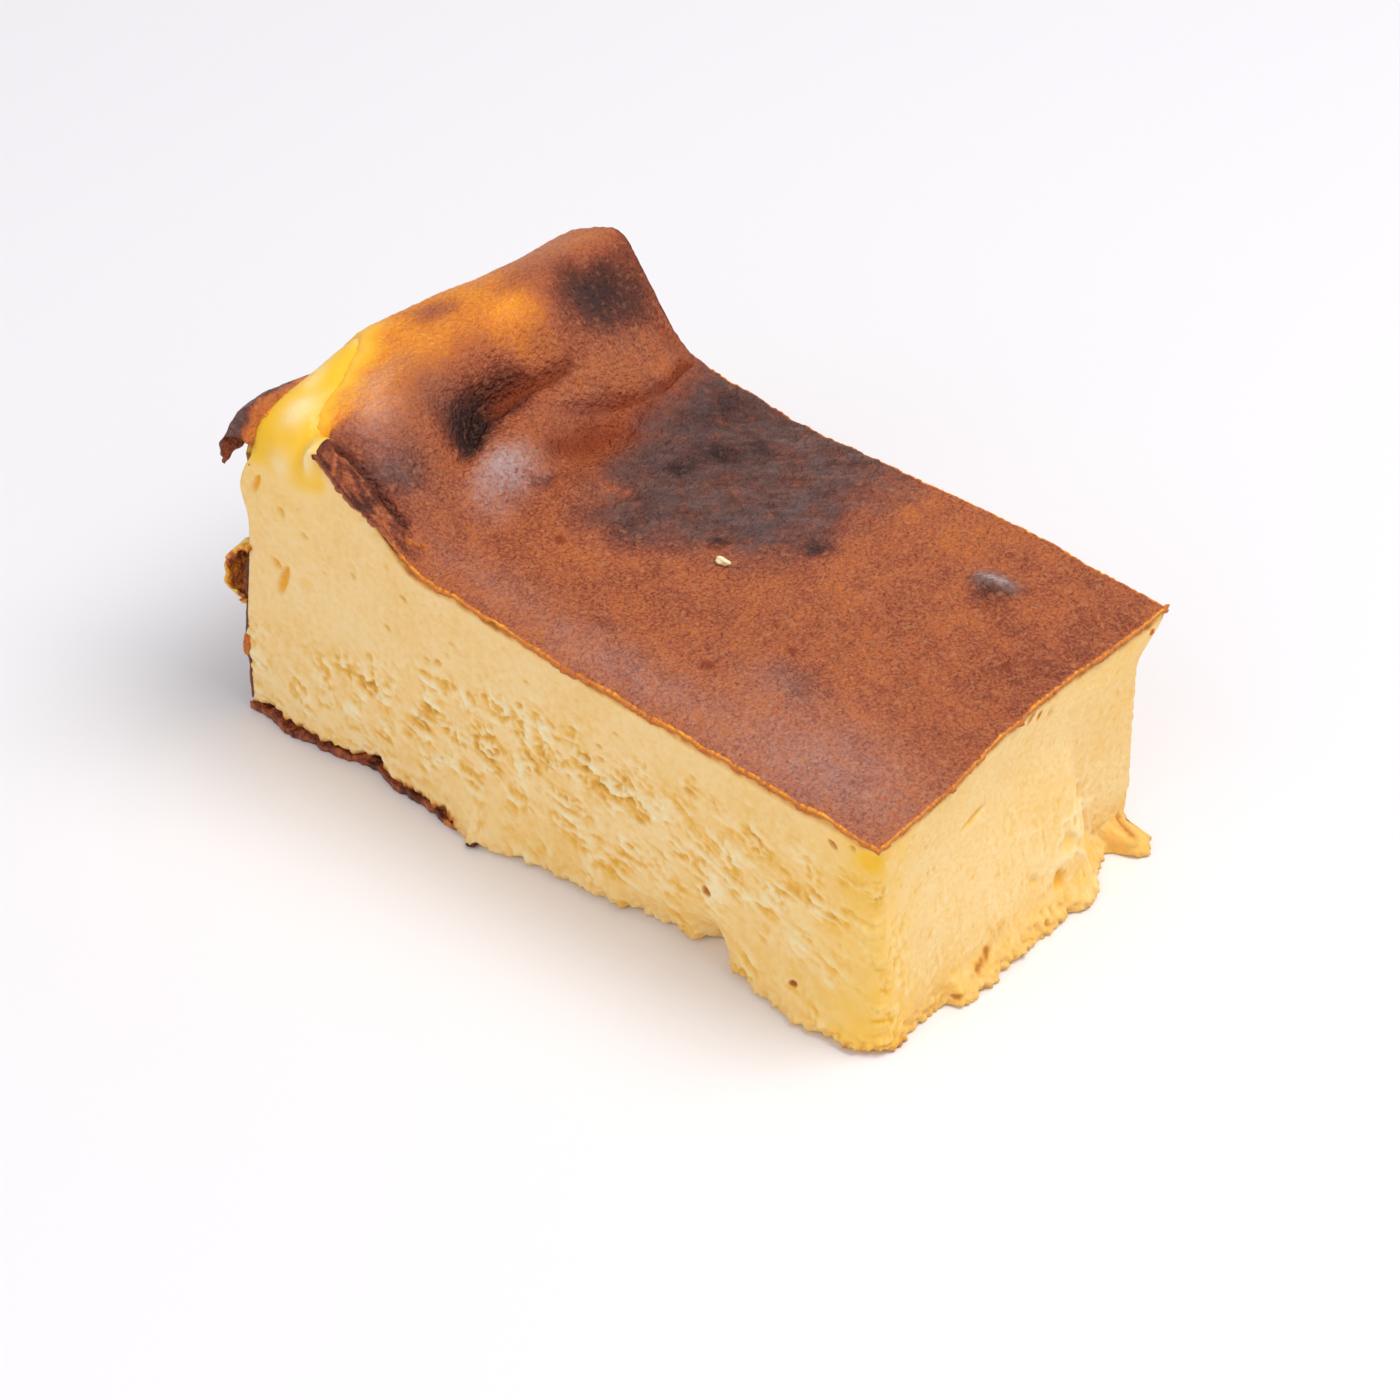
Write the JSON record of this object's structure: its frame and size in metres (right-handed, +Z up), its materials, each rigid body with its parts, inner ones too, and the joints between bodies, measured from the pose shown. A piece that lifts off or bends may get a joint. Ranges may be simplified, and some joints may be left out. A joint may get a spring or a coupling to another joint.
{
  "type": "basque cheesecake slice",
  "caption": "Rectangular slice of burnt basque cheesecake with creamy cut faces, a thin browned skin and a tall rolled hump at its baked end.",
  "frame": {"origin": "middle of the footprint, on the plane the slice rests on", "axes": "+X from the baked end to the short cut face, -Y towards the long cut face with the notched foot, +Z up"},
  "size_m": [0.1067, 0.0592, 0.0497],
  "materials": {
    "crumb": "moist creamy baked custard, cut and slightly torn",
    "browned_skin": "thin leathery browned skin with a soft satin sheen, burnt in patches"
  },
  "bodies": {
    "root": {"cheesecake_slice": "crumb"}
  },
  "joints": []
}
